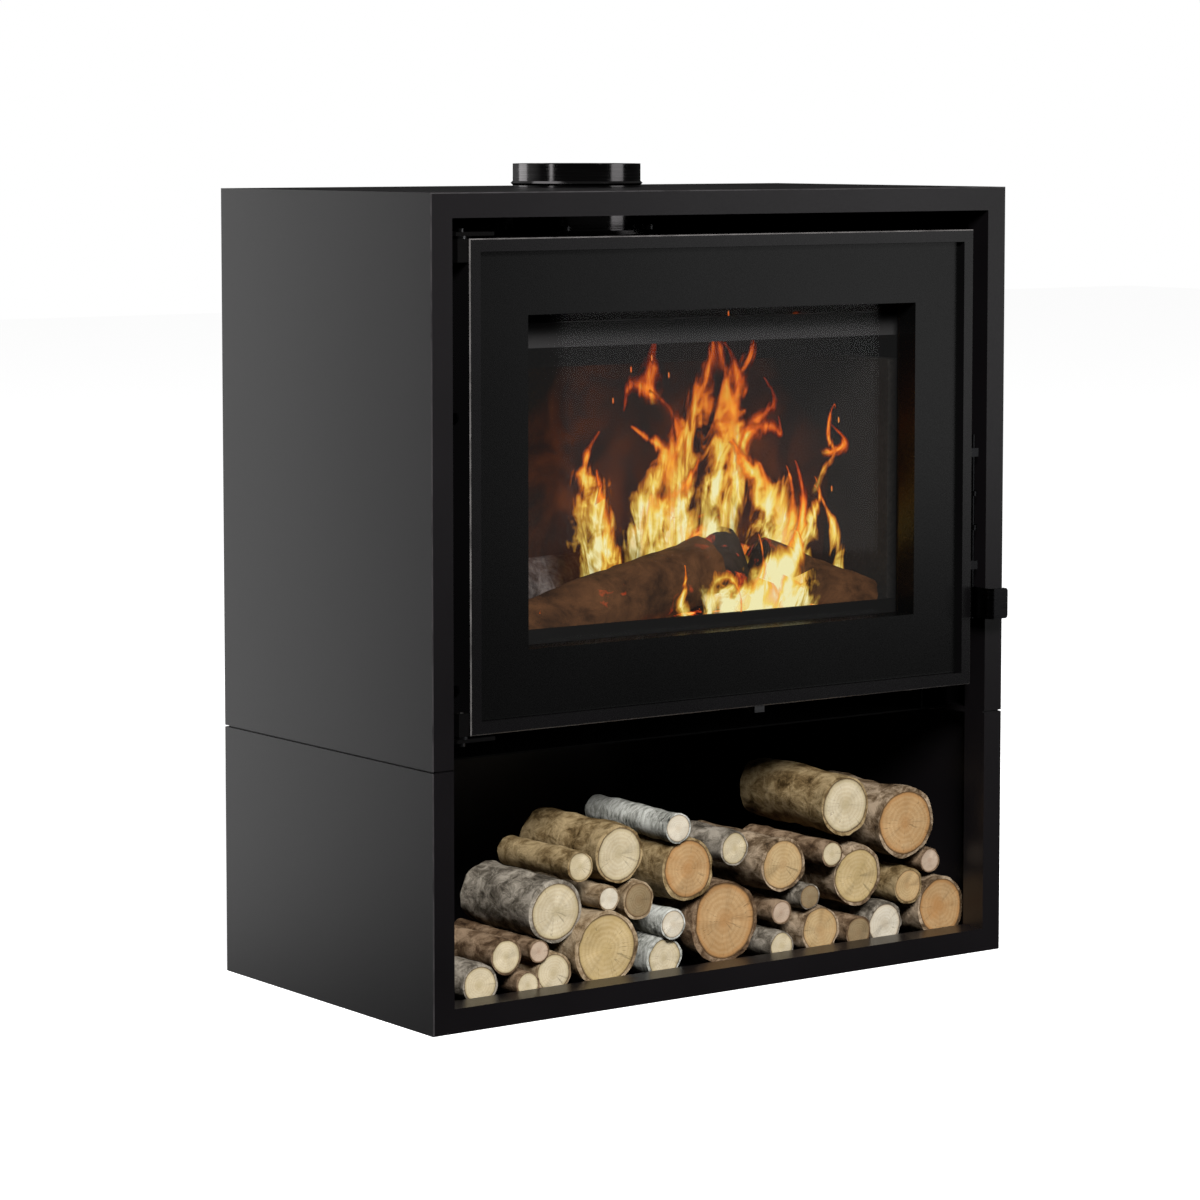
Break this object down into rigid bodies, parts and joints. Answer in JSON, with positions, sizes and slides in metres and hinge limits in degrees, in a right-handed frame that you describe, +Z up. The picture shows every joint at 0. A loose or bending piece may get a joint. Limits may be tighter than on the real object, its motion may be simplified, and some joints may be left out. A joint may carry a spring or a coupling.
{
  "type": "wood burning stove",
  "caption": "Free-standing steel wood burning stove: box-shaped case with a glazed side-hinged door, top flue outlet and an open log store below.",
  "frame": {"origin": "on the floor under the middle of the case's footprint", "axes": "+Z up, the door faces -Y, +X is to the right when facing the door"},
  "size_m": [0.804, 0.4595, 0.927],
  "materials": {
    "case_paint": "fine satin black stove paint with a faint warm cast",
    "door_paint": "smooth satin black stove paint",
    "inner_paint": "matt black high temperature paint",
    "firebox_steel": "matt black, sooted by the fire",
    "cast_iron": "rough cast, sooted",
    "deflector_steel": "heat-dulled grey steel",
    "vermiculite": "pressed vermiculite board, matt, darkened by smoke",
    "flue_paint": "satin black, smooth",
    "fire_glass": "clear ceramic glass",
    "seal_fibre": "braided glass fibre, dark grey",
    "plated_steel": "zinc plated, slightly dull",
    "latch_steel": "dark satin steel with bright edges",
    "foot_rubber": "matt black"
  },
  "bodies": {
    "root": {"upper_case_shell": "case_paint", "lower_case_shell": "case_paint", "upper_back_panel": "case_paint", "lower_back_panel": "case_paint", "log_store_tray": "case_paint", "convection_jacket": "inner_paint", "right_support_rail": "inner_paint", "left_support_rail": "inner_paint", "log_store_heat_shield": "inner_paint", "upper_centring_brackets": "inner_paint", "upper_hinge_bracket": "inner_paint", "lower_hinge_bracket": "inner_paint", "air_control_housing": "inner_paint", "air_slide_guides": "inner_paint", "latch_keeper": "inner_paint", "firebox_body": "firebox_steel", "firebox_front_frame": "firebox_steel", "upper_baffle_plate": "firebox_steel", "ash_pan": "firebox_steel", "fire_grate": "cast_iron", "log_retainer": "cast_iron", "air_wash_deflector": "deflector_steel", "floor_brick": "vermiculite", "right_side_brick": "vermiculite", "left_side_brick": "vermiculite", "rear_brick": "vermiculite", "baffle_brick": "vermiculite", "flue_spigot": "flue_paint", "flue_flange": "flue_paint", "back_panel_screws": "plated_steel", "case_joining_bolts": "plated_steel", "case_joining_nuts": "plated_steel", "centring_bolts": "plated_steel", "flue_flange_bolts": "plated_steel", "hinge_washers": "plated_steel", "upper_hinge_pin": "plated_steel", "lower_hinge_pin": "plated_steel", "levelling_nuts": "plated_steel", "levelling_feet": "foot_rubber"},
    "door": {"door_outer_frame": "door_paint", "door_front_panel": "door_paint", "door_back_plate": "inner_paint", "door_glass": "fire_glass", "glass_gasket": "seal_fibre", "door_seal_rope": "seal_fibre", "glass_clips": "plated_steel", "glass_clip_screws": "plated_steel", "door_side_screws": "plated_steel", "upper_hinge_lug": "door_paint", "lower_hinge_lug": "door_paint", "latch_bearing_blocks": "latch_steel"},
    "latch": {"latch_shaft": "latch_steel", "latch_hooks": "latch_steel", "door_handle": "latch_steel"},
    "air_control": {"air_slide": "plated_steel", "air_lever_knob": "plated_steel"}
  },
  "joints": [
    {"name": "door_hinge", "type": "hinge", "parent": "root", "child": "door", "pos_m": [-0.36, -0.207, 0.585], "axis": [0, 0, -1], "range_deg": [0, 105]},
    {"name": "latch_turn", "type": "hinge", "parent": "door", "child": "latch", "pos_m": [0.361, -0.205, 0.504], "axis": [0, 0, 1], "range_deg": [0, 17]},
    {"name": "air_lever_slide", "type": "slide", "parent": "root", "child": "air_control", "axis": [1, 0, 0], "range_m": [-0.035, 0.035]}
  ]
}
